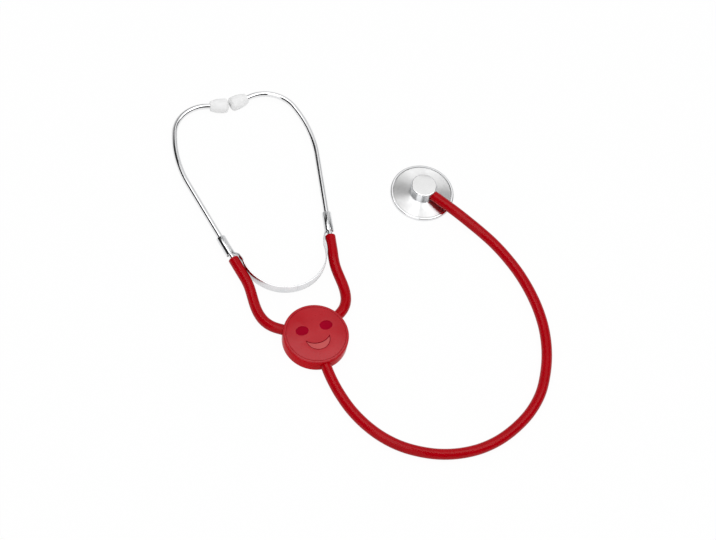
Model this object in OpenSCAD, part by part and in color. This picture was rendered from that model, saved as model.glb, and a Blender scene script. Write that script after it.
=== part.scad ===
// Toy stethoscope lying flat. Millimetres, +Z up, origin under the middle of the round junction,
// +Y along the middle line of the ear tubes towards the ear tips.

/* [Layout] */
// Height of the middle line of the ports, ear tubes, spring and ear tips above the table
plane_h = 5.2; // [4.8:0.1:6]
// Right distance from the middle line to the end of a short hose, where its ear tube comes out
arm_x = 35.2; // [34:0.1:37]
// Forward distance from the junction to the end of a short hose
arm_y = 72.5; // [70:0.5:80]
// Outward lean of the straight part of an ear tube
arm_lean = 10.62; // [8:0.01:14]
// Right distance from the junction to the chestpiece
chest_x = 111; // [80:1:140]
// Forward distance from the junction to the chestpiece
chest_y = 91; // [70:1:120]
// Direction in which the hose leaves the chestpiece, measured from +X
stem_turn = -56.31; // [-80:0.01:-30]

/* [Hoses] */
// Outside diameter of the hose
hose_d = 7.4; // [6.4:0.1:7.4]
// Bore of the hose
hose_bore = 4.3; // [4.24:0.02:4.6]

/* [Junction] */
// Outside diameter of the junction
junction_d = 44.8; // [40:0.2:52]
// Thickness of the cup's floor
floor_t = 1.5; // [1:0.1:1.5]
// Thickness of the cup's side wall
cup_wall = 2.8; // [2.4:0.1:4]
// Rounding of the cup's top edge
cup_round = 1.3; // [0.6:0.1:1.5]
// Rounding of the cup's bottom edge
foot_round = 0.8; // [0.3:0.1:1.2]
// Width of the cup's top rim, outside the face disc
rim_w = 1.9; // [1.6:0.1:2.2]
// Thickness of the face disc
cap_t = 1.5; // [1.2:0.1:1.5]
// Bevel at the face disc's top edge
cap_bevel = 0.25; // [0.1:0.05:0.5]
// Angle of a short hose's port from the middle line
port_spread = 60; // [45:1:75]
// Free play round a hose in its port
port_gap = 0.1; // [0.05:0.05:0.4]

/* [Face] */
// Distance of an eye from the middle line
eye_x = 8.5; // [7:0.1:10]
// Forward distance of the eyes from the disc's centre
eye_y = 4.4; // [3:0.1:6]
// Width of an eye
eye_w = 9; // [6:0.1:9]
// Height of an eye
eye_h = 7; // [4:0.1:7]
// Depth of the eyes
eye_depth = 0.8; // [0.3:0.1:0.9]
// Radius of the smile's lower edge
smile_r = 8.5; // [7:0.1:10]
// Radius of the smile's upper edge
smile_top_r = 11.6; // [10.5:0.1:14]
// Backward distance of the smile's corners from the disc's centre
smile_y = 3.7; // [2.5:0.1:5]
// Least depth of the open mouth below the corners
smile_dip = 3.2; // [2:0.1:4]
// Depth of the smile
smile_depth = 0.6; // [0.3:0.1:0.9]

/* [Three-way fitting] */
// Diameter of the hub
hub_d = 13; // [11:0.5:14]
// Outside diameter of a nipple
nipple_d = 4; // [3.6:0.1:4]
// Bore through the nipples
nipple_bore = 2.4; // [1.6:0.1:2.8]
// Reach of a nipple from the hub's centre
nipple_reach = 19; // [16:0.5:20]
// Diameter of a nipple's barb
barb_d = 4.7; // [4.4:0.1:5]
// Length of a nipple's barb
barb_l = 2.6; // [1.5:0.1:4]
// Height of the ring that holds the hub
hub_ring_h = 1.2; // [0.6:0.1:1.5]
// Wall of the ring that holds the hub
hub_ring_t = 1.1; // [0.8:0.1:1.3]

/* [Ear tubes] */
// Outside diameter of an ear tube
tube_d = 4; // [3.6:0.1:4]
// Wall of an ear tube
tube_wall = 0.5; // [0.3:0.05:0.8]
// Length of an ear tube inside its hose
tube_tail = 12.6; // [8:0.1:12.6]
// Length of an ear tube's straight part beyond the hose
tube_straight = 66.6; // [60:0.2:68]
// Bend radius of the long shallow bend
bend_a_r = 85.5; // [80:0.5:88]
// Straight length between the two bends
bend_run = 2; // [2:0.5:4]
// Straight length between the tight bend and the ear tip
tube_neck = 3; // [2:0.5:4]
// Length of tube inside the ear tip
tube_plug = 8; // [5:0.5:9]

/* [Ear tips] */
// Length of an ear tip
tip_l = 13.5; // [11:0.1:13.6]
// Diameter of an ear tip's skirt where the tube enters
skirt_d = 7; // [6:0.1:8]
// Radius of the domed end face
tip_dome_r = 9; // [7:0.5:12]
// Sound hole in the ear tip
tip_hole_d = 2.4; // [1.6:0.1:3]
// Gap between the two ear tips at rest
tip_gap = 0.5; // [0.4:0.1:4]

/* [Spring and clips] */
// Radius of the U spring, measured to the middle of the strip
spring_r = 29.8; // [27:0.1:30]
// Forward distance from the junction to the U spring's centre
spring_y = 68.8; // [66:0.1:70]
// Thickness of the spring strip
spring_t = 0.6; // [0.4:0.05:0.8]
// Width of the spring strip
spring_w = 8; // [6:0.2:9]
// Width of the tongue at each end of the strip
tongue_w = 3.4; // [2.4:0.2:3.6]
// Gap between the strip and the side of the hose beside it
spring_gap = 0.35; // [0.3:0.05:0.8]
// Length of a clip
clip_l = 15; // [10:0.5:20]
// Bare tube between a hose's end and its clip
clip_gap = 3.6; // [3:0.2:6]
// Sheet thickness of a clip
clip_t = 0.6; // [0.4:0.05:0.8]
// Room in a clip on the tube's outer side
clip_room = 0.6; // [0.2:0.1:1]
// Open seam along the top of a clip
seam_w = 0.3; // [0.2:0.05:0.6]

/* [Chestpiece] */
// Outside diameter of the retaining ring
ring_d = 45.2; // [40:0.2:52]
// Height of the retaining ring
ring_h = 2.6; // [2.2:0.1:3]
// Width of the retaining ring seen from above
ring_w = 1.8; // [1.4:0.1:2.4]
// Inward lip under the diaphragm
lip_w = 1.2; // [0.8:0.1:2]
// Thickness of the lip
lip_t = 0.5; // [0.4:0.1:0.8]
// Thickness of the diaphragm
diaphragm_t = 0.35; // [0.2:0.05:0.5]
// Step from the ring's top down to the edge of the metal disc
disc_step = 0.3; // [0.1:0.1:0.5]
// Height of the metal disc's face at the foot of the boss
disc_h = 3; // [2.6:0.1:4]
// Radius of the hollow under the metal disc
bell_r = 17; // [12:0.5:18]
// Depth of the hollow under the metal disc at its centre
bell_depth = 0.8; // [0.4:0.1:1]
// Diameter of the boss
boss_d = 18.2; // [16:0.2:24]
// Height of the boss's top above the table
boss_top = 12; // [11.6:0.1:15]
// Bevel at the boss's top edge
boss_bevel = 0.8; // [0.3:0.1:1.2]
// Height of the stem's axis above the table
stem_h = 7.4; // [7.2:0.1:8]
// Distance from the boss's axis to the flat seat of the hose
seat_r = 8.25; // [7.5:0.05:8.8]
// Reach of the stem from the boss's axis
stem_reach = 20; // [16:0.5:21]
// Distance from the boss's axis to the stem's inner end
stem_root = 2.6; // [2:0.1:5]
// Outside diameter of the stem
stem_d = 4; // [3.6:0.1:4]
// Radius of the sound hole in the middle of the metal disc
sound_r = 1.5; // [1:0.1:2]

/* [Fits] */
// Clearance between pieces that fit together
fit_gap = 0.05; // [0.02:0.01:0.1]
// Clearance round the face disc and between stacked pieces
seat_gap = 0.1; // [0.05:0.05:0.2]

/* [Hidden] */

$fn = 64;
// Overrun of every cut
cut = 1;
// Sides of a hose
hose_sides = 12;
// Turns of the ear tube's two bends
bend_a_turn = 27.4;
bend_b_turn = 85.2;
// Extra thickness of the straight land between the bends, and its lap over each of them
land_swell = 0.1;
land_lap = 0.5;
// Steps of a rounded edge, of an eye's outline and of a quarter of the spring
round_steps = 6;
eye_steps = 32;
spring_steps = 12;

junction_r = junction_d / 2;
junction_h = 2 * plane_h;
cap_r = junction_r - rim_w - seat_gap;
cup_bore_r = junction_r - cup_wall;
cap_z = junction_h - cap_t;
port_r = hose_d / 2 + port_gap;
hub_h = cap_z - floor_t - seat_gap;
tube_bore = tube_d - 2 * tube_wall;
// Headings of the ear tube between its bends and at its ear tip, from the middle line inwards
run_heading = bend_a_turn - arm_lean;
tip_heading = run_heading + bend_b_turn;
// Right distance of an ear tip's skirt that keeps the gap between the two domes
skirt_x = tip_gap / 2 + tip_dome_r + (tip_l - tip_dome_r) * sin(tip_heading);
// Bend radius of the tight bend, which brings the tube to the skirt
bend_b_r = (arm_x + tube_straight * sin(arm_lean) - bend_a_r * (cos(arm_lean) - cos(run_heading))
    - bend_run * sin(run_heading) - tube_neck * sin(tip_heading) - skirt_x)
    / (cos(run_heading) - cos(tip_heading));
tip_r = plane_h;
tongue_x = tube_d / 2 + fit_gap + spring_t / 2;
hose_side_x = hose_d / 2 + spring_gap + spring_t / 2;
tongue_l = clip_l - spring_t;
ring_r = ring_d / 2;
disc_r = ring_r - ring_w - seat_gap;
diaphragm_z = lip_t;
disc_z = diaphragm_z + diaphragm_t;
disc_edge_h = ring_h - disc_step;

// Shares of an ear tip's length, and of its widest radius, from the skirt to the edge of the dome
tip_length_shares = [0.1, 0.22, 0.36, 0.53, 0.73, 0.86, 0.925];
tip_radius_shares = [0.75, 0.86, 0.94, 0.99, 1, 0.97, 0.9];

// Middle line of the long hose, from the junction to the chestpiece
long_route = [
    [0, -8, 5.2], [0, -16, 5.2], [0, -24, 5.2], [0.6, -33, 4.6], [2.4, -44, 3.9],
    [5.8, -57, 3.7], [11.4, -69.8, 3.7], [19, -81.4, 3.7], [28.6, -91.2, 3.7],
    [40, -98.8, 3.7], [52.6, -104.4, 3.7], [66.2, -107.5, 3.7], [80.6, -108, 3.7],
    [95, -105.4, 3.7], [109.2, -99.8, 3.7], [122.6, -91.8, 3.7], [134.4, -80.8, 3.7],
    [143.4, -67, 3.7], [150.2, -52.2, 3.7], [154.6, -36.5, 3.7], [156.4, -20.6, 3.7],
    [156, -4.8, 3.7], [153.8, 10.6, 3.7], [149.9, 25, 3.7], [145.4, 37, 3.8],
    [140, 47.3, 4.4], [134, 56.5, 5.8], [128, 65.5, 7], [123, 73, 7.4],
    [119, 79, 7.4], [115.6, 84.1, 7.4]
];
// Middle line of the right short hose, from the junction to the end where the ear tube comes out
short_route = [
    [6.93, 4, 5.2], [15.59, 9, 5.2], [20.78, 12, 5.2], [24.6, 14.8, 4.9], [27.6, 18.2, 4.5],
    [29.8, 22.4, 4.1], [31.1, 27.4, 3.8], [31.6, 32.6, 3.7], [31.5, 38, 3.7], [31.2, 43.6, 3.9],
    [31.1, 49, 4.4], [31.7, 54.4, 5], [32.8, 59.7, 5.2], [34, 66.1, 5.2], [35.2, 72.5, 5.2]
];

function unit(v) = v / norm(v);
function heading(route, i) =
    unit(route[min(i + 1, len(route) - 1)] - route[max(i - 1, 0)]);
function ring_points(centre, along, r) =
    let (across = unit(cross(along, [0, 0, 1])), up = cross(across, along))
    [for (j = [0 : hose_sides - 1])
        centre + r * (cos(360 * j / hose_sides) * across + sin(360 * j / hose_sides) * up)];
function skin_points(route, r) =
    [for (i = [0 : len(route) - 1]) each ring_points(route[i], heading(route, i), r)];
function mirrored(route) = [for (p = route) [-p[0], p[1], p[2]]];
function reversed(list) = [for (i = [len(list) - 1 : -1 : 0]) list[i]];
// Quarter round from the side up to the top: corner is where the two straight edges would meet
function rounded(corner, r, start) =
    [for (i = [0 : round_steps])
        let (a = start + 90 * i / round_steps)
        corner + r * [cos(a), sin(a)]];
function ellipse_points(w, h) =
    [for (i = [0 : eye_steps - 1])
        [w / 2 * cos(360 * i / eye_steps), h / 2 * sin(360 * i / eye_steps)]];
// Point of the right ear tube's own frame, put in the frame of the whole toy
function arm_point(p) =
    [arm_x + p[0] * cos(arm_lean) + p[1] * sin(arm_lean),
     arm_y - p[0] * sin(arm_lean) + p[1] * cos(arm_lean)];
function spring_half() = concat(
    [for (i = [0 : spring_steps])
        let (a = 90 * i / spring_steps)
        [spring_r * sin(a), spring_y - spring_r * cos(a)]],
    [arm_point([-hose_side_x, spring_t])]);
function flipped(path) = [for (p = path) [-p[0], p[1]]];
function path_normal(path, i) =
    let (d = unit(path[min(i + 1, len(path) - 1)] - path[max(i - 1, 0)])) [-d[1], d[0]];
function strip_outline(path, t) = concat(
    [for (i = [0 : len(path) - 1]) path[i] + t / 2 * path_normal(path, i)],
    reversed([for (i = [0 : len(path) - 1]) path[i] - t / 2 * path_normal(path, i)]));

// Hollow hose swept along a route
module hose(route) {
    n = hose_sides;
    m = len(route);
    points = concat(skin_points(route, hose_d / 2), skin_points(route, hose_bore / 2));
    sides = [for (i = [0 : m - 2], j = [0 : n - 1])
        let (a = i * n + j, b = i * n + (j + 1) % n, c = b + n, d = a + n, in = m * n)
        each [[a, b, c], [a, c, d], [in + a, in + c, in + b], [in + a, in + d, in + c]]];
    ends = [for (j = [0 : n - 1])
        let (a = j, b = (j + 1) % n, in = m * n, far = (m - 1) * n)
        each [[a, in + a, in + b], [a, in + b, b],
              [far + a, far + b, far + in + b], [far + a, far + in + b, far + in + a]]];
    polyhedron(points, concat(sides, ends));
}

// Flat strip bent along a path and standing on edge, its middle at the height of the ear tubes
module strip(path, width) {
    translate([0, 0, plane_h - width / 2])
        linear_extrude(width)
            polygon(strip_outline(path, spring_t));
}

module radial_rod(d, from, to) {
    translate([from, 0, 0])
        rotate([0, 90, 0])
            cylinder(d = d, h = to - from);
}

// Hose nipple along +X with a barb near its end
module nipple(d, from, to) {
    radial_rod(d, from, to);
    translate([to - barb_l, 0, 0])
        rotate([0, 90, 0])
            cylinder(d1 = barb_d, d2 = d, h = barb_l);
}

module at_ports() {
    for (turn = [90 - port_spread, 90 + port_spread, 270])
        translate([0, 0, plane_h])
            rotate([0, 0, turn])
                children();
}

module junction_cup() {
    hub_ring_r = hub_d / 2 + fit_gap;
    color("#c8102e") difference() {
        rotate_extrude($fn = 96)
            polygon(concat(
                [[0, 0]],
                rounded([junction_r - foot_round, foot_round], foot_round, -90),
                rounded([junction_r - cup_round, junction_h - cup_round], cup_round, 0),
                [[cap_r + seat_gap, junction_h], [cap_r + seat_gap, cap_z],
                 [cup_bore_r, cap_z], [cup_bore_r, floor_t],
                 [hub_ring_r + hub_ring_t, floor_t], [hub_ring_r + hub_ring_t, floor_t + hub_ring_h],
                 [hub_ring_r, floor_t + hub_ring_h], [hub_ring_r, floor_t], [0, floor_t]]));
        at_ports()
            radial_rod(2 * port_r, cup_bore_r - cut, junction_r + cut);
    }
}

module smile() {
    difference() {
        translate([0, -smile_y]) circle(smile_r);
        translate([0, smile_top_r - smile_y - smile_dip]) circle(smile_top_r);
    }
}

module junction_cap() {
    color("#cf2333") difference() {
        translate([0, 0, cap_z])
            rotate_extrude($fn = 96)
                polygon([[0, 0], [cap_r, 0], [cap_r, cap_t - cap_bevel],
                    [cap_r - cap_bevel, cap_t], [0, cap_t]]);
        for (side = [-1, 1])
            translate([side * eye_x, eye_y, junction_h - eye_depth])
                linear_extrude(eye_depth + cut)
                    polygon(ellipse_points(eye_w, eye_h));
        translate([0, 0, junction_h - smile_depth])
            linear_extrude(smile_depth + cut)
                smile();
    }
}

module hose_manifold() {
    chamber_d = 1.5 * nipple_bore;
    color("#e8e4da") difference() {
        union() {
            translate([0, 0, floor_t])
                cylinder(d = hub_d, h = hub_h);
            at_ports() nipple(nipple_d, hub_d / 4, nipple_reach);
        }
        translate([0, 0, plane_h - chamber_d / 2])
            cylinder(d = chamber_d, h = chamber_d);
        at_ports()
            radial_rod(nipple_bore, chamber_d / 4, nipple_reach + cut);
    }
}

module long_hose() {
    color("#c3122b") hose(long_route);
}

module right_short_hose() {
    color("#c3122b") hose(short_route);
}

module left_short_hose() {
    color("#c3122b") hose(reversed(mirrored(short_route)));
}

// Frame of the right ear tube: +Y runs along its straight part, +X points outwards
module in_arm() {
    translate([arm_x, arm_y, plane_h])
        rotate([0, 0, -arm_lean])
            children();
}

module on_left() {
    mirror([1, 0, 0]) children();
}

// Rod along +Y, starting at the origin
module rod(d, length) {
    rotate([-90, 0, 0])
        cylinder(d = d, h = length);
}

// Bend starting at the origin along +Y, towards -X, or backwards with a negative turn
module rod_bend(d, r, turn) {
    translate([-r, 0, 0])
        rotate_extrude(angle = turn)
            translate([r, 0])
                circle(d = d);
}

// Place of what follows such a bend
module after_bend(r, turn) {
    translate([-r, 0, 0])
        rotate([0, 0, turn])
            translate([r, 0, 0])
                children();
}

module after_first_bend() {
    translate([0, tube_straight, 0])
        after_bend(bend_a_r, bend_a_turn)
            children();
}

module after_bends() {
    after_first_bend()
        translate([0, bend_run, 0])
            after_bend(bend_b_r, bend_b_turn)
                children();
}

// Solid along the ear tube's path: the two bends run into a land between them
module tube_path(d, overrun) {
    translate([0, -tube_tail - overrun, 0])
        rod(d, tube_tail + tube_straight + overrun);
    translate([0, tube_straight, 0])
        rod_bend(d, bend_a_r, bend_a_turn);
    after_first_bend()
        translate([0, -land_lap, 0])
            rod(d + land_swell, bend_run + 2 * land_lap);
    after_bends() {
        rod_bend(d, bend_b_r, -bend_b_turn);
        rod(d, tube_neck + tube_plug + overrun);
    }
}

module ear_tube() {
    color("#d4d6d8") in_arm() difference() {
        tube_path(tube_d, 0);
        tube_path(tube_bore, cut);
    }
}

module right_ear_tube() {
    ear_tube();
}

module left_ear_tube() {
    on_left() ear_tube();
}

// Mushroom tip turned about its own length, skirt first, with a domed end
module ear_tip() {
    dome_from = tip_radius_shares[len(tip_radius_shares) - 1] * tip_r;
    dome_drop = tip_dome_r - sqrt(tip_dome_r * tip_dome_r - dome_from * dome_from);
    dome = [for (i = [0 : round_steps])
        let (r = dome_from * (1 - i / round_steps))
        [r, tip_l - tip_dome_r + sqrt(tip_dome_r * tip_dome_r - r * r)]];
    side = [for (i = [0 : len(tip_length_shares) - 1])
        [tip_radius_shares[i] * tip_r,
         tip_length_shares[i] * (tip_l - dome_drop) / tip_length_shares[len(tip_length_shares) - 1]]];
    color("#eef0ee") in_arm() after_bends()
        translate([0, tube_neck, 0]) rotate([-90, 0, 0])
            difference() {
                rotate_extrude()
                    polygon(concat([[0, 0], [skirt_d / 2, 0]],
                        [for (i = [0 : len(side) - 2]) side[i]], dome));
                translate([0, 0, -cut])
                    cylinder(d = tube_d + 2 * fit_gap, h = tube_plug + fit_gap + cut);
                cylinder(d = tip_hole_d, h = tip_l + cut);
            }
}

module right_ear_tip() {
    ear_tip();
}

module left_ear_tip() {
    on_left() ear_tip();
}

// Section of a clip: the tube's round, the pocket for the spring's tongue inwards of it and the
// room outwards of it
module clip_hollow(grow) {
    pocket = tongue_x + spring_t / 2 + fit_gap;
    circle(d = tube_d + 2 * (fit_gap + grow));
    translate([-pocket - grow, -tongue_w / 2 - fit_gap - grow])
        square([pocket + tube_d / 2 + clip_room + 2 * grow, tongue_w + 2 * (fit_gap + grow)]);
}

module clip() {
    color("#b9bcc0") in_arm()
        translate([0, clip_gap, 0])
            rotate([-90, 0, 0])
                linear_extrude(clip_l)
                    difference() {
                        clip_hollow(clip_t);
                        clip_hollow(0);
                        translate([-seam_w / 2, -tube_d - clip_t])
                            square([seam_w, tube_d + clip_t]);
                    }
}

module right_clip() {
    clip();
}

module left_clip() {
    on_left() clip();
}

module leaf_spring() {
    half = spring_half();
    foot = half[len(half) - 1];
    tongue = [foot, arm_point([-tongue_x, clip_gap]), arm_point([-tongue_x, clip_gap + tongue_l])];
    color("#c9cbcd") {
        strip(concat(flipped(reversed(half)), [for (i = [1 : len(half) - 1]) half[i]]), spring_w);
        strip(tongue, tongue_w);
        strip(flipped(tongue), tongue_w);
    }
}

module in_chest() {
    translate([chest_x, chest_y, 0])
        rotate([0, 0, stem_turn])
            children();
}

module chest_body() {
    boss_r = boss_d / 2;
    color("#d9dbdd") in_chest() difference() {
        rotate_extrude($fn = 96)
            polygon([[0, disc_z + bell_depth], [bell_r, disc_z], [disc_r, disc_z],
                [disc_r, disc_edge_h], [boss_r, disc_h], [boss_r, boss_top - boss_bevel],
                [boss_r - boss_bevel, boss_top], [0, boss_top]]);
        cylinder(r = sound_r, h = stem_h);
        translate([0, 0, stem_h]) {
            radial_rod(stem_d + 2 * fit_gap, 0, boss_r + cut);
            radial_rod(2 * port_r, seat_r, boss_r + cut);
        }
    }
}

module chest_stem() {
    color("#c6c9cc") in_chest()
        translate([0, 0, stem_h])
            difference() {
                nipple(stem_d, stem_root, stem_reach);
                radial_rod(nipple_bore, stem_root - cut, stem_reach + cut);
            }
}

module retaining_ring() {
    color("#cfd1d4") in_chest()
        rotate_extrude($fn = 96)
            polygon([[ring_r - ring_w - lip_w, 0], [ring_r, 0], [ring_r, ring_h],
                [ring_r - ring_w, ring_h], [ring_r - ring_w, lip_t],
                [ring_r - ring_w - lip_w, lip_t]]);
}

module diaphragm() {
    color("#f2f2f0") in_chest()
        translate([0, 0, diaphragm_z])
            cylinder(r = disc_r, h = diaphragm_t, $fn = 96);
}

junction_cup();
junction_cap();
hose_manifold();
long_hose();
left_short_hose();
right_short_hose();
leaf_spring();
left_clip();
right_clip();
left_ear_tube();
right_ear_tube();
left_ear_tip();
right_ear_tip();
chest_body();
chest_stem();
retaining_ring();
diaphragm();
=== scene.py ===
import math

import bpy
from mathutils import Matrix, Vector


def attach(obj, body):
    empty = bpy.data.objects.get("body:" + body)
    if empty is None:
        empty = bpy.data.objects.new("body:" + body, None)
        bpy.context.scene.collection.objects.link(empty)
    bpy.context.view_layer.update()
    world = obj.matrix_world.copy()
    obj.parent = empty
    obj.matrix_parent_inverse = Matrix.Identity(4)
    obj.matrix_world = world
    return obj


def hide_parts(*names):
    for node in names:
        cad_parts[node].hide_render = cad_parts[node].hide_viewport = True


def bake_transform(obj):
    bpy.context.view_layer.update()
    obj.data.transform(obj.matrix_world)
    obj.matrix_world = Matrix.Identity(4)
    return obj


# Toy stethoscope lying flat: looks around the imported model. Lengths in metres.

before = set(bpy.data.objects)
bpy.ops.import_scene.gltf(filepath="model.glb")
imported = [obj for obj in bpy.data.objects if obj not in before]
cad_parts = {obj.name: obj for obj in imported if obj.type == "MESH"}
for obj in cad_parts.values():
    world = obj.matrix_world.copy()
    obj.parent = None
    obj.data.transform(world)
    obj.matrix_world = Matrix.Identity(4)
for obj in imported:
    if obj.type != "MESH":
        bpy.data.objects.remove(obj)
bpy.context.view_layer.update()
mm = 0.001
weldWithin = 0.002 * mm  # points closer than this become one
toLeft = Matrix.Scale(-1, 4, (1, 0, 0))  # right-hand pieces are mirrored into left-hand ones


# Small helpers

def deselectAll():
    if bpy.context.object and bpy.context.object.mode != "OBJECT":
        bpy.ops.object.mode_set(mode="OBJECT")
    bpy.ops.object.select_all(action="DESELECT")


def makeActive(obj):
    deselectAll()
    obj.select_set(True)
    bpy.context.view_layer.objects.active = obj


def applyAll(obj):
    makeActive(obj)
    for modifier in list(obj.modifiers):
        bpy.ops.object.modifier_apply(modifier=modifier.name)


def settle(obj, place=None):
    # Puts the object's place into its mesh
    makeActive(obj)
    if place is not None:
        obj.matrix_world = place
        bpy.context.view_layer.update()
    bpy.ops.object.transform_apply(location=True, rotation=True, scale=True)


def smooth(obj, degrees):
    makeActive(obj)
    bpy.ops.object.shade_smooth_by_angle(angle=math.radians(degrees))


def faceOutwards(obj):
    makeActive(obj)
    bpy.ops.object.mode_set(mode="EDIT")
    bpy.ops.mesh.select_all(action="SELECT")
    bpy.ops.mesh.remove_doubles(threshold=weldWithin)
    bpy.ops.mesh.normals_make_consistent(inside=False)
    bpy.ops.object.mode_set(mode="OBJECT")


def pickVertices(obj, test):
    # Leaves the object in edit mode with only these vertices selected
    makeActive(obj)
    bpy.ops.object.mode_set(mode="EDIT")
    bpy.ops.mesh.select_mode(type="VERT")
    bpy.ops.mesh.select_all(action="DESELECT")
    bpy.ops.object.mode_set(mode="OBJECT")
    for vertex in obj.data.vertices:
        vertex.select = test(vertex.co)
    bpy.ops.object.mode_set(mode="EDIT")


def turned(name, profile, sides, capped=False):
    # Turned about +Z by extruding a circle ring by ring: profile holds (radius, height) pairs
    deselectAll()
    radius, height = profile[0]
    bpy.ops.mesh.primitive_circle_add(vertices=sides, radius=radius, location=(0, 0, height))
    obj = bpy.context.object
    obj.name = name
    bpy.ops.object.transform_apply(location=True)
    bpy.ops.object.mode_set(mode="EDIT")
    bpy.ops.mesh.select_all(action="SELECT")
    for nextRadius, nextHeight in profile[1:]:
        rise = nextHeight - height
        bpy.ops.mesh.extrude_region_move(TRANSFORM_OT_translate={"value": (0, 0, rise)})
        k = nextRadius / radius
        bpy.ops.transform.resize(value=(k, k, 1), center_override=(0, 0, nextHeight))
        radius, height = nextRadius, nextHeight
    if capped:
        bpy.ops.mesh.select_all(action="SELECT")
        bpy.ops.mesh.fill_holes(sides=0)
    bpy.ops.object.mode_set(mode="OBJECT")
    return obj


def cutWith(obj, cutters, operation="DIFFERENCE"):
    for cutter in cutters:
        modifier = obj.modifiers.new("cut", "BOOLEAN")
        modifier.operation = operation
        modifier.solver = "EXACT"
        modifier.object = cutter
        applyAll(obj)
        bpy.data.objects.remove(cutter)


def addBevel(obj, width, segments, degrees):
    modifier = obj.modifiers.new("edge", "BEVEL")
    modifier.width = width
    modifier.segments = segments
    modifier.limit_method = "ANGLE"
    modifier.angle_limit = math.radians(degrees)
    applyAll(obj)


def quarterRound(centre, radius, start, steps=6):
    # Points on a quarter circle, as (radius, height) pairs
    angles = [math.radians(start + 90 * i / steps) for i in range(steps + 1)]
    return [(centre[0] + radius * math.cos(a), centre[1] + radius * math.sin(a)) for a in angles]


def smoothLine(points, steps, ease):
    # One smooth curve by given points. Ease draws each in a little, so it stays in the solid's box
    points = [Vector(p) for p in points]
    inner = [b + ease * (a + c - 2 * b) for a, b, c in zip(points, points[1:], points[2:])]
    points = [points[0]] + inner + [points[-1]]
    line = []
    for i in range(len(points) - 1):
        a, b = points[max(i - 1, 0)], points[i]
        c, d = points[i + 1], points[min(i + 2, len(points) - 1)]
        for s in range(steps):
            t = s / steps
            line.append(0.5 * (2 * b + (c - a) * t + (2 * a - 5 * b + 4 * c - d) * t * t
                               + (3 * b - a - 3 * c + d) * t ** 3))
    return line + [points[-1]]


def tubeAlong(name, line, radius, sides):
    deselectAll()
    curve = bpy.data.curves.new(name, "CURVE")
    curve.dimensions = "3D"
    curve.twist_mode = "Z_UP"
    curve.bevel_depth = radius
    curve.bevel_resolution = (sides - 4) // 2
    spline = curve.splines.new("POLY")
    spline.points.add(len(line) - 1)
    for point, place in zip(spline.points, line):
        point.co = (*place, 1)
    obj = bpy.data.objects.new(name, curve)
    bpy.context.scene.collection.objects.link(obj)
    makeActive(obj)
    bpy.ops.object.convert(target="MESH")
    obj.name = name
    faceOutwards(obj)
    return obj


def openLip(obj, end, outward, radius, lip, bore, depth, steps=3):
    # Rounded cut end of a tube, with its bore going in
    onEnd = 0.02 * mm
    pickVertices(obj, lambda p: (p - end).length < 1.05 * radius and abs((p - end) @ outward) < onEnd)
    size, at = radius, 0.0
    for i in range(1, steps + 1):
        turn = math.radians(90 / steps * i)
        nextSize, nextAt = radius - lip + lip * math.cos(turn), lip * math.sin(turn)
        bpy.ops.mesh.extrude_region_move(TRANSFORM_OT_translate={"value": outward * (nextAt - at)})
        k = nextSize / size
        bpy.ops.transform.resize(value=(k, k, k), center_override=end + outward * nextAt)
        size, at = nextSize, nextAt
    bpy.ops.mesh.extrude_region_move(TRANSFORM_OT_translate={"value": (0, 0, 0)})
    k = bore / size
    bpy.ops.transform.resize(value=(k, k, k), center_override=end + outward * at)
    bpy.ops.mesh.extrude_region_move(TRANSFORM_OT_translate={"value": -outward * depth})
    bpy.ops.object.mode_set(mode="OBJECT")


def dress(obj, material, body=None, replaces=()):
    obj.data.materials.clear()
    obj.data.materials.append(material)
    for polygon in obj.data.polygons:
        polygon.material_index = 0
    if body:
        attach(obj, body)
    if replaces:
        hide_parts(*replaces)


# Materials

def toLinear(hexCode):
    # sRGB hex to linear colour
    channels = [int(hexCode[i:i + 2], 16) / 255 for i in (1, 3, 5)]
    return [c / 12.92 if c <= 0.04045 else ((c + 0.055) / 1.055) ** 2.4 for c in channels] + [1]


def addNode(material, kind, settings=None, links=None):
    node = material.node_tree.nodes.new(kind)
    for key, value in (settings or {}).items():
        if isinstance(key, int) or key in node.inputs:
            node.inputs[key].default_value = value
        else:
            setattr(node, key, value)
    for key, source in (links or {}).items():
        material.node_tree.links.new(source, node.inputs[key])
    return node


def newMaterial(name):
    material = bpy.data.materials.new(name)
    material.use_nodes = True
    material.node_tree.nodes.clear()
    return material


def finishShader(material, settings, links=None):
    shader = addNode(material, "ShaderNodeBsdfPrincipled", settings, links)
    addNode(material, "ShaderNodeOutputMaterial", links={"Surface": shader.outputs["BSDF"]})
    return material


def noiseValue(material, place, size, low, high):
    # Cloudy variation: size is the width of one cloud. Noise stays near its middle, so only that is stretched
    noise = addNode(material, "ShaderNodeTexNoise", {"Scale": 1 / size, "Detail": 3.0}, {"Vector": place})
    return addNode(material, "ShaderNodeMapRange",
                   {"From Min": 0.3, "From Max": 0.7, "To Min": low, "To Max": high},
                   {"Value": noise.outputs["Fac"]}).outputs["Result"]


def tinted(material, place, size, hexLow, hexHigh):
    share = noiseValue(material, place, size, 0, 1)
    mix = addNode(material, "ShaderNodeMixRGB", {"Color1": toLinear(hexLow), "Color2": toLinear(hexHigh)},
                  {"Fac": share})
    return mix.outputs["Color"]


def noiseBump(material, place, size, detail, strength, depth):
    # Normal from a grain of this size and depth
    noise = addNode(material, "ShaderNodeTexNoise", {"Scale": 1 / size, "Detail": detail}, {"Vector": place})
    return addNode(material, "ShaderNodeBump", {"Strength": strength, "Distance": depth},
                   {"Height": noise.outputs["Fac"]}).outputs["Normal"]


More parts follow.
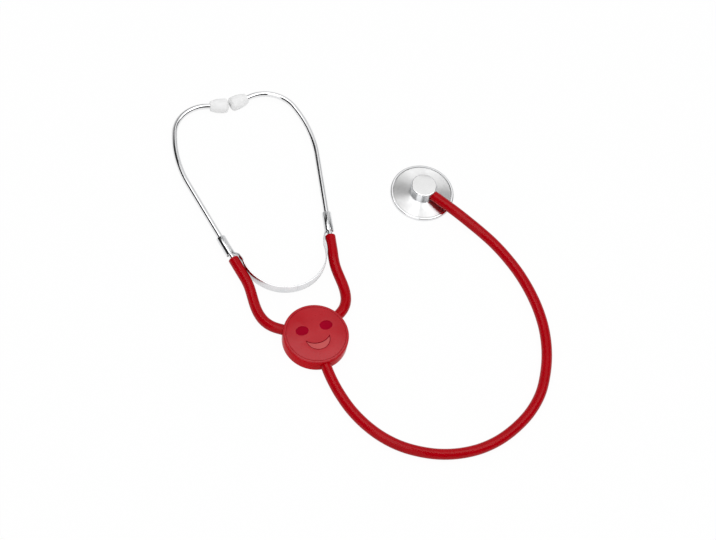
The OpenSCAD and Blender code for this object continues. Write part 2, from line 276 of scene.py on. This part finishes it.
def chromePlate(name, hexLow, hexHigh, roughness):
    # Chrome plate on drawn steel: near mirror, a little uneven from drawing, with clouded wiping marks
    material = newMaterial(name)
    place = addNode(material, "ShaderNodeTexCoord").outputs["Object"]
    colour = tinted(material, place, 9 * mm, hexLow, hexHigh)
    rough = noiseValue(material, place, 6 * mm, roughness, roughness + 0.05)
    bump = noiseBump(material, place, 1.2 * mm, 2.0, 0.04, 0.02 * mm)
    return finishShader(material, {"Metallic": 1.0},
                        {"Base Color": colour, "Roughness": rough, "Normal": bump})


def turnedMetal(name, hexLow, hexHigh, roughness, centre, groove):
    # Aluminium faced on a lathe: fine rings about the centre stretch each highlight across them.
    # A real tool mark is finer than groove, which is as fine as shows. One wave is 0.314 / Scale long
    material = newMaterial(name)
    place = addNode(material, "ShaderNodeTexCoord").outputs["Object"]
    middle = addNode(material, "ShaderNodeMapping", {"Location": [-c for c in centre]}, {"Vector": place})
    outwards = addNode(material, "ShaderNodeVectorMath", {"operation": "MULTIPLY", 1: (1, 1, 0)},
                       {0: middle.outputs["Vector"]})
    rings = addNode(material, "ShaderNodeTexWave",
                    {"wave_type": "RINGS", "rings_direction": "Z", "Scale": 0.314 / groove,
                     "Distortion": 0.4, "Detail": 2.0, "Detail Scale": 1.0},
                    {"Vector": middle.outputs["Vector"]})
    bump = addNode(material, "ShaderNodeBump", {"Strength": 0.06, "Distance": 0.01 * mm},
                   {"Height": rings.outputs["Fac"]})
    colour = tinted(material, place, 7 * mm, hexLow, hexHigh)
    rough = noiseValue(material, place, 5 * mm, roughness, roughness + 0.04)
    return finishShader(material, {"Metallic": 1.0, "Anisotropic": 1.0},
                        {"Base Color": colour, "Roughness": rough, "Tangent": outwards.outputs["Vector"],
                         "Normal": bump.outputs["Normal"]})


def mouldedPlastic(name, hexLow, hexHigh, roughness, grain, depth, ior=1.5):
    # Moulded styrene: even colour with slight flow clouds and a fine tool grain. The ior is matched to
    # the toy, whose red stays deeper under a large lamp than the plastic's own 1.5 would leave it
    material = newMaterial(name)
    place = addNode(material, "ShaderNodeTexCoord").outputs["Object"]
    colour = tinted(material, place, 12 * mm, hexLow, hexHigh)
    rough = noiseValue(material, place, 4 * mm, roughness - 0.03, roughness + 0.03)
    bump = noiseBump(material, place, grain, 3.0, 0.12, depth)
    return finishShader(material, {"IOR": ior}, {"Base Color": colour, "Roughness": rough, "Normal": bump})


def softPvc(name, hexLow, hexHigh):
    # Extruded soft PVC: deep glossy red, with a skin that waves a little as soft hose does. IOR as above
    material = newMaterial(name)
    place = addNode(material, "ShaderNodeTexCoord").outputs["Object"]
    colour = tinted(material, place, 10 * mm, hexLow, hexHigh)
    rough = noiseValue(material, place, 8 * mm, 0.12, 0.15)
    bump = noiseBump(material, place, 3 * mm, 1.0, 0.05, 0.02 * mm)
    return finishShader(material, {"IOR": 1.22}, {"Base Color": colour, "Roughness": rough, "Normal": bump})


def frostedPvc(name, hexLow, hexHigh):
    # Soft milky PVC: evenly pale and dull, with hardly any gloss, so its IOR is low too
    material = newMaterial(name)
    place = addNode(material, "ShaderNodeTexCoord").outputs["Object"]
    colour = tinted(material, place, 4 * mm, hexLow, hexHigh)
    rough = noiseValue(material, place, 4 * mm, 0.6, 0.66)
    bump = noiseBump(material, place, 1.5 * mm, 1.0, 0.05, 0.02 * mm)
    return finishShader(material, {"IOR": 1.3}, {"Base Color": colour, "Roughness": rough, "Normal": bump})


def paleSheet(name, hexCode, roughness):
    # Thin milky polyester sheet: one even tone with a slight sheen
    return mouldedPlastic(name, hexCode, hexCode, roughness, 1.2 * mm, 0.01 * mm)


# Camera, floor and light

view = {"place": (-0.3465, -0.6065, 1.2878), "aim": (0.0467, 0.0443, 0.0), "roll": 13.88, "lens": 108.9,
        "sensor": 36.0}
# The softbox hangs over the front, so its far edge stays out of what level faces mirror
light = {"world": 0.5, "softbox": 18.0, "width": 2.4, "depth": 1.7, "place": (0.05, -0.16, 1.6), "turn": -19,
         "floorSize": 6, "floorGlow": 0.96, "floorGloss": 0.56, "floorColour": "#fafafa", "flagDistance": 1.4}
# Dark and grey flags that only gloss and metal see: brightness, then corners as azimuth and elevation
flags = {"left": (0.02, (128, 48), (205, 52), (208, 6), (128, 6)),
         "leftTop": (0.02, (146, 62), (205, 64), (205, 52), (140, 48)),
         "leftBand": (0.04, (78, 55.5), (128, 48), (128, 34), (78, 44)),
         "leftLow": (0.45, (78, 44), (128, 34), (128, 6), (78, 6)),
         "far": (0.7, (32, 44), (78, 46), (78, 6), (32, 6)),
         "rightBand": (0.08, (-10, 30), (34, 52), (32, 38), (-10, 16)),
         "rightLow": (0.45, (-10, 16), (32, 38), (32, 6), (-10, 6)),
         "right": (0.02, (306, 48), (350, 40), (350, 5), (306, 5)),
         "frontRight": (0.02, (284, 72), (306, 48), (306, 5), (282, 12)),
         "front": (0.02, (250, 80), (284, 80), (282, 12), (252, 12))}


def buildCamera():
    camera = bpy.data.cameras.new("camera")
    camera.lens = view["lens"]
    camera.sensor_width = view["sensor"]
    obj = bpy.data.objects.new("camera", camera)
    bpy.context.scene.collection.objects.link(obj)
    look = Vector(view["aim"]) - Vector(view["place"])
    turn = look.to_track_quat("-Z", "Y").to_matrix() @ Matrix.Rotation(math.radians(view["roll"]), 3, "Z")
    obj.matrix_world = Matrix.Translation(view["place"]) @ turn.to_4x4()
    bpy.context.scene.camera = obj
    print("camera in place")


def seenShare(material, gloss):
    # 1 for what the camera sees directly or through a clear piece, and gloss for what metal mirrors
    rays = addNode(material, "ShaderNodeLightPath")
    mirrored = addNode(material, "ShaderNodeMath", {"operation": "MULTIPLY", 1: gloss},
                       {0: rays.outputs["Is Glossy Ray"]})
    first = addNode(material, "ShaderNodeMath", {"operation": "ADD"},
                    {0: rays.outputs["Is Camera Ray"], 1: mirrored.outputs["Value"]})
    return addNode(material, "ShaderNodeMath", {"operation": "ADD", "use_clamp": True},
                   {0: first.outputs["Value"], 1: rays.outputs["Is Transmission Ray"]}).outputs["Value"]


def wayTo(azimuth, elevation):
    a, e = math.radians(azimuth), math.radians(elevation)
    return Vector((math.cos(e) * math.cos(a), math.cos(e) * math.sin(a), math.sin(e)))


def buildSoftbox():
    lamp = bpy.data.lights.new("softbox", "AREA")
    lamp.shape = "RECTANGLE"
    lamp.size, lamp.size_y = light["width"], light["depth"]
    lamp.energy = light["softbox"]
    obj = bpy.data.objects.new("softbox", lamp)
    bpy.context.scene.collection.objects.link(obj)
    obj.location = light["place"]
    obj.rotation_euler = (0, 0, math.radians(light["turn"]))


def buildFlag(name, brightness, *corners):
    deselectAll()
    bpy.ops.mesh.primitive_plane_add(size=1)
    flag = bpy.context.object
    flag.name = name
    for vertex, corner in zip([flag.data.vertices[i] for i in (2, 3, 1, 0)], corners):
        vertex.co = Vector(view["aim"]) + light["flagDistance"] * wayTo(*corner)
    cloth = newMaterial(name + "Cloth")
    glow = addNode(cloth, "ShaderNodeEmission", {"Color": toLinear("#ffffff"), "Strength": brightness})
    addNode(cloth, "ShaderNodeOutputMaterial", links={"Surface": glow.outputs["Emission"]})
    flag.data.materials.append(cloth)
    flag.visible_camera = flag.visible_diffuse = flag.visible_shadow = flag.visible_transmission = False


def buildStage():
    bpy.context.scene.view_settings.view_transform = "Standard"
    deselectAll()
    bpy.ops.mesh.primitive_plane_add(size=light["floorSize"], location=(0, 0, 0))
    floor = bpy.context.object
    floor.name = "floor"
    material = newMaterial("paleFloor")
    glow = addNode(material, "ShaderNodeMath", {"operation": "MULTIPLY", 1: light["floorGlow"]},
                   {0: seenShare(material, light["floorGloss"])})
    dull = addNode(material, "ShaderNodeBsdfDiffuse", {"Color": toLinear(light["floorColour"])})
    white = addNode(material, "ShaderNodeEmission", {"Color": toLinear("#ffffff"), "Strength": 1.0})
    surface = addNode(material, "ShaderNodeMixShader",
                      links={"Fac": glow.outputs["Value"], 1: dull.outputs["BSDF"],
                             2: white.outputs["Emission"]})
    addNode(material, "ShaderNodeOutputMaterial", links={"Surface": surface.outputs["Shader"]})
    floor.data.materials.append(material)
    world = bpy.data.worlds.new("studio")
    bpy.context.scene.world = world
    world.use_nodes = True
    world.node_tree.nodes.clear()
    strength = addNode(world, "ShaderNodeMapRange", {"To Min": light["world"], "To Max": 1.0},
                       {"Value": seenShare(world, 1.0)})
    sky = addNode(world, "ShaderNodeBackground", {"Color": toLinear("#ffffff")},
                  {"Strength": strength.outputs["Result"]})
    addNode(world, "ShaderNodeOutputWorld", links={"Surface": sky.outputs["Background"]})
    buildSoftbox()
    for name, settings in flags.items():
        buildFlag(name + "Flag", *settings)
    print("stage and lamps in place")


# Hoses

hose = {
    "radius": 3.66 * mm, "bore": 2.06 * mm, "lip": 0.5 * mm, "lipDepth": 5 * mm, "sides": 32, "steps": 6,
    "ease": 0.05,
    "longRoute": [  # millimetres, from the junction to the chestpiece
        (0, -8, 5.2), (0, -16, 5.2), (0, -24, 5.2), (0.6, -33, 4.6), (2.4, -44, 3.9),
        (5.8, -57, 3.7), (11.4, -69.8, 3.7), (19, -81.4, 3.7), (28.6, -91.2, 3.7),
        (40, -98.8, 3.7), (52.6, -104.4, 3.7), (66.2, -107.5, 3.7), (80.6, -108, 3.7),
        (95, -105.4, 3.7), (109.2, -99.8, 3.7), (122.6, -91.8, 3.7), (134.4, -80.8, 3.7),
        (143.4, -67, 3.7), (150.2, -52.2, 3.7), (154.6, -36.5, 3.7), (156.4, -20.6, 3.7),
        (156, -4.8, 3.7), (153.8, 10.6, 3.7), (149.9, 25, 3.7), (145.4, 37, 3.8),
        (140, 47.3, 4.4), (134, 56.5, 5.8), (128, 65.5, 7), (123, 73, 7.4),
        (119, 79, 7.4), (115.6, 84.1, 7.4)],
    "shortRoute": [  # millimetres, from the junction to the right ear tube
        (6.93, 4, 5.2), (15.59, 9, 5.2), (20.78, 12, 5.2), (24.6, 14.8, 4.9), (27.6, 18.2, 4.5),
        (29.8, 22.4, 4.1), (31.1, 27.4, 3.8), (31.6, 32.6, 3.7), (31.5, 38, 3.7), (31.2, 43.6, 3.9),
        (31.1, 49, 4.4), (31.7, 54.4, 5), (32.8, 59.7, 5.2), (34, 66.1, 5.2), (35.2, 72.5, 5.2)]}


def inMetres(route, side=1):
    return [Vector((side * x * mm, y * mm, z * mm)) for x, y, z in route]


def buildHose(name, node, route, material):
    # Each end is cut square and rounded inside the route's own length
    line = smoothLine(route, hose["steps"], hose["ease"])
    back, ahead = (line[0] - line[1]).normalized(), (line[-1] - line[-2]).normalized()
    line[0] = line[0] - back * hose["lip"]
    line[-1] = line[-1] - ahead * hose["lip"]
    obj = tubeAlong(name, line, hose["radius"], hose["sides"])
    for end, outward in ((line[0], back), (line[-1], ahead)):
        openLip(obj, end, outward, hose["radius"], hose["lip"], hose["bore"], hose["lipDepth"])
    smooth(obj, 50)
    dress(obj, material, replaces=(node,))
    return obj, line


def buildHoses():
    material = softPvc("extrudedRedPvc", "#a6000c", "#b00010")
    obj, line = buildHose("longHose", "long_hose", inMetres(hose["longRoute"]), material)
    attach(obj, "junction")
    for side, word in ((-1, "left"), (1, "right")):
        route = inMetres(hose["shortRoute"], side)
        obj, line = buildHose(word + "ShortHose", word + "_short_hose", route, material)
        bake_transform(obj)
    print("hoses made")


# Ear tubes and tips

earTube = {"radius": 2 * mm, "anchor": (35.2 * mm, 72.5 * mm, 5.2 * mm), "lean": math.atan2(3, 16),
           "tail": 12.6 * mm, "straight": 66.6 * mm, "bendA": (85.5 * mm, 27.4), "run": 2 * mm,
           "bendB": (24.15 * mm, 85.2), "neck": 3 * mm, "plug": 8 * mm, "lip": 0.2 * mm, "bore": 1.5 * mm,
           "lipDepth": 3 * mm, "sides": 40, "stepsA": 28, "stepsB": 44}
# Outline along the tip: lengths from the skirt to the rim and widths, as shares
earTip = {"length": 13.5 * mm, "radius": 5.2 * mm, "skirt": 3.5 * mm, "skirtRound": 0.15 * mm, "dome": 9 * mm,
          "hole": 1.2 * mm, "holeRound": 0.25 * mm, "holeEdge": 0.3 * mm, "holeDeep": 5.4 * mm,
          "step": 0.1 * mm, "bore": 2.02 * mm, "mouth": 2.2 * mm, "mouthEdge": 0.3 * mm, "foot": 2.4 * mm,
          "lengths": [0, 0.1, 0.22, 0.36, 0.53, 0.73, 0.86, 0.925],
          "widths": [0.67, 0.75, 0.86, 0.94, 0.99, 1, 0.97, 0.9], "sides": 64, "domeSteps": 8}


def armFrame():
    return Matrix.Translation(earTube["anchor"]) @ Matrix.Rotation(-earTube["lean"], 4, "Z")


def afterBend(bend):
    radius, turn = bend
    return (Matrix.Translation((-radius, 0, 0)) @ Matrix.Rotation(math.radians(turn), 4, "Z")
            @ Matrix.Translation((radius, 0, 0)))


def bendPoints(bend, place, steps):
    radius, turn = bend
    return [place @ Vector((radius * math.cos(a) - radius, radius * math.sin(a), 0))
            for a in (math.radians(turn * i / steps) for i in range(1, steps + 1))]


def tipFrame():
    first = armFrame() @ Matrix.Translation((0, earTube["straight"], 0))
    second = first @ afterBend(earTube["bendA"]) @ Matrix.Translation((0, earTube["run"], 0))
    return first, second, second @ afterBend(earTube["bendB"]) @ Matrix.Translation((0, earTube["neck"], 0))


def flipped(points, side):
    return [Vector((side * p.x, p.y, p.z)) for p in points]


def buildEarTubes():
    material = chromePlate("chromePlatedTube", "#e6e7e8", "#f0f0f1", 0.05)
    first, second, last = tipFrame()
    arm = armFrame()
    line = [arm @ Vector((0, -earTube["tail"], 0)), arm.to_translation(), first.to_translation()]
    line += bendPoints(earTube["bendA"], first, earTube["stepsA"])
    line += [second.to_translation()]
    line += bendPoints(earTube["bendB"], second, earTube["stepsB"])
    line += [last @ Vector((0, earTube["plug"], 0))]
    for side, word in ((-1, "left"), (1, "right")):
        places = flipped(line, side)
        obj = tubeAlong(word + "EarTube", places, earTube["radius"], earTube["sides"])
        for end, outward in ((places[0], (places[0] - places[1]).normalized()),
                             (places[-1], (places[-1] - places[-2]).normalized())):
            openLip(obj, end, outward, earTube["radius"], earTube["lip"], earTube["bore"],
                    earTube["lipDepth"])
        smooth(obj, 40)
        dress(obj, material, word + "_tube_body", (word + "_ear_tube",))
    print("ear tubes made")


def domeAt(radius):
    # Height of the tip's domed end at this radius
    return earTip["length"] - earTip["dome"] + math.sqrt(earTip["dome"] ** 2 - radius ** 2)


def tipProfile():
    t = earTip
    rim, inner = t["widths"][-1] * t["radius"], t["hole"] + t["holeRound"]
    tall = domeAt(rim) / t["lengths"][-1]
    outside = [(w * t["radius"], l * tall) for w, l in zip(t["widths"], t["lengths"])]
    outside[0] = (t["skirt"], t["skirtRound"])
    steps = t["domeSteps"]
    dome = [(r, domeAt(r)) for r in (rim + (inner - rim) * i / steps for i in range(1, steps + 1))]
    hole = [(t["hole"], t["length"] - t["holeEdge"]), (t["hole"], t["length"] - t["holeDeep"])]
    bore = [(t["bore"], t["length"] - t["holeDeep"] - t["step"]), (t["bore"], t["mouthEdge"]),
            (t["mouth"], 0)]
    return [(t["foot"], 0)] + outside + dome + hole + bore + [(t["foot"], 0)]


def buildEarTips():
    material = frostedPvc("frostedPvc", "#f2f2f2", "#fafafa")
    last = tipFrame()[2] @ Matrix.Rotation(math.radians(-90), 4, "X")
    for side, word in ((-1, "left"), (1, "right")):
        obj = turned(word + "EarTip", tipProfile(), earTip["sides"])
        faceOutwards(obj)
        settle(obj, last)
        if side < 0:
            settle(obj, toLeft)
            faceOutwards(obj)
        smooth(obj, 50)
        dress(obj, material, word + "_tube_body", (word + "_ear_tip",))
    print("ear tips made")


# Clips and spring

clip = {"bore": 2.06 * mm, "sheet": 0.6 * mm, "length": 15 * mm, "gap": 3.6 * mm, "pocket": 2.7 * mm,
        "room": 2.6 * mm, "flank": 0.3, "seam": 0.15 * mm, "edge": 0.15 * mm, "sides": 72}
spring = {"radius": 29.8 * mm, "centreY": 68.8 * mm, "sheet": 0.6 * mm, "width": 8 * mm, "height": 5.2 * mm,
          "steps": 36, "hoseGap": 0.65 * mm, "tubeGap": 0.35 * mm, "shoulder": 0.8, "tongue": 3.4 * mm,
          "tongueLength": 14.4 * mm, "edge": 0.12 * mm}


def buildClips():
    material = chromePlate("polishedRolledSheet", "#e0e1e3", "#eaebec", 0.08)
    for side, word in ((-1, "left"), (1, "right")):
        deselectAll()
        bpy.ops.mesh.primitive_circle_add(vertices=clip["sides"], radius=clip["bore"],
                                          rotation=(math.radians(90), 0, 0))
        obj = bpy.context.object
        obj.name = word + "Clip"
        bpy.ops.object.transform_apply(rotation=True)
        flank = clip["flank"] * clip["bore"]
        for way, reach in ((-1, clip["pocket"]), (1, clip["room"])):
            pickVertices(obj, lambda p: way * p.x > flank)
            k = (reach - flank) / (clip["bore"] - flank)
            bpy.ops.transform.resize(value=(k, 1, 1), center_override=(way * flank, 0, 0))
        pickVertices(obj, lambda p: p.z > 0 and abs(p.x) < clip["seam"])
        bpy.ops.mesh.delete(type="VERT")
        bpy.ops.mesh.select_all(action="SELECT")
        bpy.ops.mesh.extrude_region_move(TRANSFORM_OT_translate={"value": (0, clip["length"], 0)})
        bpy.ops.object.mode_set(mode="OBJECT")
        faceOutwards(obj)
        wall = obj.modifiers.new("wall", "SOLIDIFY")
        wall.thickness = clip["sheet"]
        wall.offset = 1
        applyAll(obj)
        addBevel(obj, clip["edge"], 3, 60)
        settle(obj, armFrame() @ Matrix.Translation((0, clip["gap"], 0)))
        if side < 0:
            settle(obj, toLeft)
        faceOutwards(obj)
        smooth(obj, 40)
        dress(obj, material, word + "_clip_body", (word + "_clip",))
    print("clips made")


def springLine():
    # Middle of the strip's right half, from the bottom of the U to the tongue's end
    line = []
    for i in range(spring["steps"] + 1):
        a = math.radians(90 * i / spring["steps"])
        y = spring["centreY"] - spring["radius"] * math.cos(a)
        line.append(Vector((spring["radius"] * math.sin(a), y, 0)))
    arm = armFrame()
    footX, tongueX = -(hose["radius"] + spring["hoseGap"]), -(earTube["radius"] + spring["tubeGap"])
    for x, y in ((footX, spring["sheet"]), (tongueX, clip["gap"]),
                 (tongueX, clip["gap"] + spring["tongueLength"])):
        p = arm @ Vector((x, y, 0))
        line.append(Vector((p.x, p.y, 0)))
    return line


def buildSpring():
    material = chromePlate("rolledSpringSteel", "#e0e2e4", "#eaebec", 0.14)
    line = springLine()
    for side, word in ((-1, "left"), (1, "right")):
        deselectAll()
        bpy.ops.mesh.primitive_plane_add(size=spring["width"], location=(*line[0].xy, spring["height"]),
                                         rotation=(0, math.radians(90), 0))
        obj = bpy.context.object
        obj.name = word + "SpringHalf"
        bpy.ops.object.transform_apply(location=True, rotation=True)
        pickVertices(obj, lambda p: p.y < line[0].y)
        bpy.ops.mesh.delete(type="VERT")
        bpy.ops.mesh.select_all(action="SELECT")
        bpy.ops.transform.translate(value=(0, -spring["width"] / 2, 0))
        narrow = spring["tongue"] / spring["width"]
        narrowing = {len(line) - 3: spring["shoulder"], len(line) - 2: narrow / spring["shoulder"]}
        for i in range(1, len(line)):
            bpy.ops.mesh.extrude_region_move(TRANSFORM_OT_translate={"value": line[i] - line[i - 1]})
            if i in narrowing:
                bpy.ops.transform.resize(value=(1, 1, narrowing[i]),
                                         center_override=(*line[i].xy, spring["height"]))
        bpy.ops.object.mode_set(mode="OBJECT")
        wall = obj.modifiers.new("wall", "SOLIDIFY")
        wall.thickness = spring["sheet"]
        wall.offset = 0
        applyAll(obj)
        addBevel(obj, spring["edge"], 2, 60)
        if side < 0:
            settle(obj, toLeft)
        faceOutwards(obj)
        smooth(obj, 40)
        dress(obj, material)
        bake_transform(obj)
        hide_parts("leaf_spring")
    print("spring made")


# Junction

junction = {"radius": 22.4 * mm, "height": 10.4 * mm, "round": 1.3 * mm, "foot": 0.8 * mm, "rim": 1.9 * mm,
            "cap": 1.5 * mm, "floor": 1.5 * mm, "wall": 2.8 * mm, "ports": (30, 150, 270),
            "portHeight": 5.2 * mm, "portRadius": 3.8 * mm, "portAt": 21 * mm, "portDeep": 8 * mm,
            "pole": 0.3 * mm, "capGap": 0.1 * mm, "mouth": 0.15 * mm, "capEdge": 0.25 * mm, "sides": 128,
            "portSides": 48, "grain": 0.6 * mm, "grainDepth": 0.01 * mm}
face = {"eyeX": 8.5 * mm, "eyeY": 4.4 * mm, "eyeWide": 9 * mm, "eyeHigh": 7 * mm, "eyeDepth": 0.8 * mm,
        "smileR": 8.5 * mm, "smileTopR": 11.6 * mm, "smileY": 3.7 * mm, "smileDip": 3.2 * mm,
        "smileDepth": 0.7 * mm, "groove": 0.5 * mm, "padDrop": 0.2 * mm, "sink": 0.1 * mm, "reach": 13 * mm,
        "deepest": 1.2 * mm, "skin": 0.01 * mm, "padSkin": 0.05 * mm, "sides": 96}


def lyingCutter(sides, radius, length, centre, turn):
    # Cylinder that lies level and points along turn
    deselectAll()
    bpy.ops.mesh.primitive_cylinder_add(vertices=sides, radius=radius, depth=length, location=centre,
                                        rotation=(0, math.radians(90), turn))
    return bpy.context.object


def buildJunction():
    j = junction
    grain, depth = j["grain"], j["grainDepth"]
    material = mouldedPlastic("mouldedRedStyrene", "#c00010", "#c80014", 0.12, grain, depth, 1.09)
    # Cap face and the cup's upward rim: a duller copy of the cup's red, painted so as sheen that upward faces
    # reflect, with a rougher satin skin
    sheenPaintedRed = mouldedPlastic("satinRedWithPaintedSheen", "#b00e1c", "#b81622", 0.3, grain, depth, 1.38)
    top, bottom = j["height"], j["height"] - j["cap"]
    capRadius = j["radius"] - j["rim"] - j["capGap"]
    seat, inside = capRadius + j["capGap"], j["radius"] - j["wall"]
    profile = [(j["pole"], 0)]
    profile += quarterRound((j["radius"] - j["foot"], j["foot"]), j["foot"], -90)
    profile += quarterRound((j["radius"] - j["round"], top - j["round"]), j["round"], 0)
    profile += [(seat + j["mouth"], top), (seat, top - j["mouth"]), (seat, bottom), (inside, bottom),
                (inside, j["floor"]), (j["pole"], j["floor"])]
    cup = turned("junctionCup", profile, j["sides"], capped=True)
    faceOutwards(cup)
    cutters = []
    for turn in j["ports"]:
        a = math.radians(turn)
        centre = (j["portAt"] * math.cos(a), j["portAt"] * math.sin(a), j["portHeight"])
        cutters.append(lyingCutter(j["portSides"], j["portRadius"], j["portDeep"], centre, a))
    cutWith(cup, cutters)
    smooth(cup, 35)
    dress(cup, material, "junction", ("junction_cup",))
    cup.data.materials.append(sheenPaintedRed)
    # Upward faces of the rim take the duller copy of the red, the same painted sheen as the cap
    for polygon in cup.data.polygons:
        if polygon.normal.z > 0.6 and polygon.center.z > top - j["round"]:
            polygon.material_index = 1
    edge = j["capEdge"]
    disc = turned("junctionFace", [(j["pole"], bottom), (capRadius, bottom), (capRadius, top - edge),
                                   (capRadius - 0.28 * edge, top - 0.36 * edge), (capRadius - edge, top),
                                   (j["pole"], top)], j["sides"], capped=True)
    faceOutwards(disc)
    cutters = []
    for side in (-1, 1):
        deselectAll()
        bpy.ops.mesh.primitive_uv_sphere_add(segments=48, ring_count=32, radius=1,
                                             location=(side * face["eyeX"], face["eyeY"], top))
        eye = bpy.context.object
        eye.scale = (face["eyeWide"] / 2, face["eyeHigh"] / 2, face["eyeDepth"])
        bpy.ops.object.transform_apply(location=True, rotation=True, scale=True)
        cutters.append(eye)
    cutters.append(crescent(0, top - face["smileDepth"], top + face["smileDepth"]))
    cutWith(disc, cutters)
    pad = crescent(face["groove"], top - face["smileDepth"] - face["sink"], top - face["padDrop"])
    cutWith(disc, [pad], "UNION")
    smooth(disc, 30)
    dress(disc, sheenPaintedRed, "junction", ("junction_cap",))
    colourFace(disc, top)
    print("junction made")


def crescent(shrink, low, high):
    # Solid between the smile's two arcs, drawn in by shrink
    middle, depth = (low + high) / 2, high - low
    deselectAll()
    bpy.ops.mesh.primitive_cylinder_add(vertices=face["sides"], radius=face["smileR"] - shrink, depth=depth,
                                        location=(0, -face["smileY"], middle))
    solid = bpy.context.object
    bpy.ops.mesh.primitive_cylinder_add(
        vertices=face["sides"], radius=face["smileTopR"] + shrink, depth=2 * depth,
        location=(0, face["smileTopR"] - face["smileY"] - face["smileDip"], middle))
    cutWith(solid, [bpy.context.object])
    return solid


def colourFace(disc, top):
    # Eyes and the groove round the smile are darker: in the groove and the smile's walls this is painted
    # shade for the recess. The pad in the smile is paler, a painted highlight for the light its flat floor
    # reflects
    grain, depth = junction["grain"], junction["grainDepth"]
    # Darker red: painted shade in the smile's groove and walls, also used in the eye dimples
    disc.data.materials.append(mouldedPlastic("darkEyeRedAndGrooveShade", "#9a0020", "#a60026", 0.5, grain, depth, 1.1))
    # Paler red: painted highlight on the smile's pad
    disc.data.materials.append(mouldedPlastic("padPaintedHighlight", "#bc3a3a", "#c44444", 0.35, grain, depth))
    for polygon in disc.data.polygons:
        centre = polygon.center
        if centre.z > top - face["skin"] or centre.z < top - face["deepest"]:
            continue
        if centre.y > face["eyeY"] - face["eyeHigh"] / 2 and abs(centre.x) < face["reach"]:
            polygon.material_index = 1
        # Inside the smile: the pad gets the painted highlight, the groove and walls the painted shade
        elif centre.xy.length < face["reach"]:
            onPad = polygon.normal.z > 0.9 and centre.z > top - face["padDrop"] - face["padSkin"]
            polygon.material_index = 2 if onPad else 1


# Chestpiece

chest = {"x": 111 * mm, "y": 91 * mm, "turn": -56.31, "ring": 22.6 * mm, "ringHeight": 2.6 * mm,
         "ringWidth": 1.8 * mm, "ringFoot": 0.3 * mm, "ringRound": 0.8 * mm, "ringEdge": 0.15 * mm,
         "lip": 1.2 * mm, "lipThick": 0.5 * mm, "gap": 0.1 * mm, "pole": 0.3 * mm, "discEdge": 2.3 * mm,
         "discHeight": 3 * mm, "discBevel": 0.2 * mm, "boss": 9.1 * mm, "fillet": 0.5 * mm,
         "filletMid": 0.12 * mm, "top": 12 * mm, "bevel": 0.8 * mm, "under": 0.85 * mm,
         "stemHeight": 7.4 * mm, "seat": 8.25 * mm, "seatDeep": 8 * mm, "hoseRoom": 0.1 * mm,
         "seatSides": 64, "wallSkin": 0.2 * mm, "sides": 160, "groove": 0.35 * mm}


def chestPlace():
    return Matrix.Translation((chest["x"], chest["y"], 0))


def buildChest():
    c = chest
    centre = (c["x"], c["y"], 0)
    turnedFace = turnedMetal("facedAluminium", "#e2e2e2", "#ececec", 0.33, centre, c["groove"])
    ringMetal = chromePlate("polishedRing", "#e4e5e6", "#eeeeef", 0.07)
    inner = c["ring"] - c["ringWidth"]
    discRadius = inner - c["gap"]
    profile = [(c["pole"], c["under"]), (discRadius, c["under"]),
               (discRadius, c["discEdge"] - c["discBevel"]), (discRadius - c["discBevel"], c["discEdge"]),
               (c["boss"] + c["fillet"], c["discHeight"]),
               (c["boss"] + c["filletMid"], c["discHeight"] + c["filletMid"]),
               (c["boss"], c["discHeight"] + c["fillet"])]
    profile += quarterRound((c["boss"] - c["bevel"], c["top"] - c["bevel"]), c["bevel"], 0)
    body = turned("chestBody", profile + [(c["pole"], c["top"])], c["sides"], capped=True)
    faceOutwards(body)
    settle(body, chestPlace())
    a = math.radians(c["turn"])
    reach = c["seat"] + c["seatDeep"] / 2
    seatAt = (c["x"] + reach * math.cos(a), c["y"] + reach * math.sin(a), c["stemHeight"])
    seat = lyingCutter(c["seatSides"], hose["radius"] + c["hoseRoom"], c["seatDeep"], seatAt, a)
    cutWith(body, [seat])
    smooth(body, 30)
    dress(body, turnedFace, "junction", ("chest_body",))
    body.data.materials.append(chromePlate("polishedBoss", "#dcdee0", "#e8eaec", 0.04))
    body.data.materials.append(chromePlate("polishedTop", "#e6e6e6", "#ececec", 0.08))
    for polygon in body.data.polygons:
        if (polygon.center.xy - chestPlace().translation.xy).length < c["boss"] + c["wallSkin"]:
            flat = polygon.normal.z > 0.9
            polygon.material_index = 0 if polygon.normal.z < -0.9 else 2 if flat else 1
    lip = inner - c["lip"]
    outline = [(lip, 0), (c["ring"] - c["ringFoot"], 0), (c["ring"], c["ringFoot"])]
    outline += quarterRound((c["ring"] - c["ringRound"], c["ringHeight"] - c["ringRound"]), c["ringRound"], 0)
    outline += [(inner + c["ringEdge"], c["ringHeight"]), (inner, c["ringHeight"] - c["ringEdge"]),
                (inner, c["lipThick"]), (lip, c["lipThick"]), (lip, 0)]
    ring = turned("chestRing", outline, c["sides"])
    faceOutwards(ring)
    settle(ring, chestPlace())
    smooth(ring, 30)
    dress(ring, ringMetal, "junction", ("retaining_ring",))
    print("chestpiece made")


# Pieces that stay as they are in the solid model

def dressCadNodes():
    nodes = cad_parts
    nylon = mouldedPlastic("naturalNylon", "#e4e0d4", "#ece9df", 0.4, 0.5 * mm, 0.02 * mm)
    dress(nodes["hose_manifold"], nylon)
    dress(nodes["chest_stem"], chromePlate("turnedNipple", "#c2c4c6", "#cccdcf", 0.2))
    dress(nodes["diaphragm"], paleSheet("milkySheet", "#efefed", 0.35))
    print("inner pieces dressed")


buildCamera()
buildHoses()
buildStage()
buildEarTubes()
buildEarTips()
buildClips()
buildSpring()
buildJunction()
buildChest()
dressCadNodes()
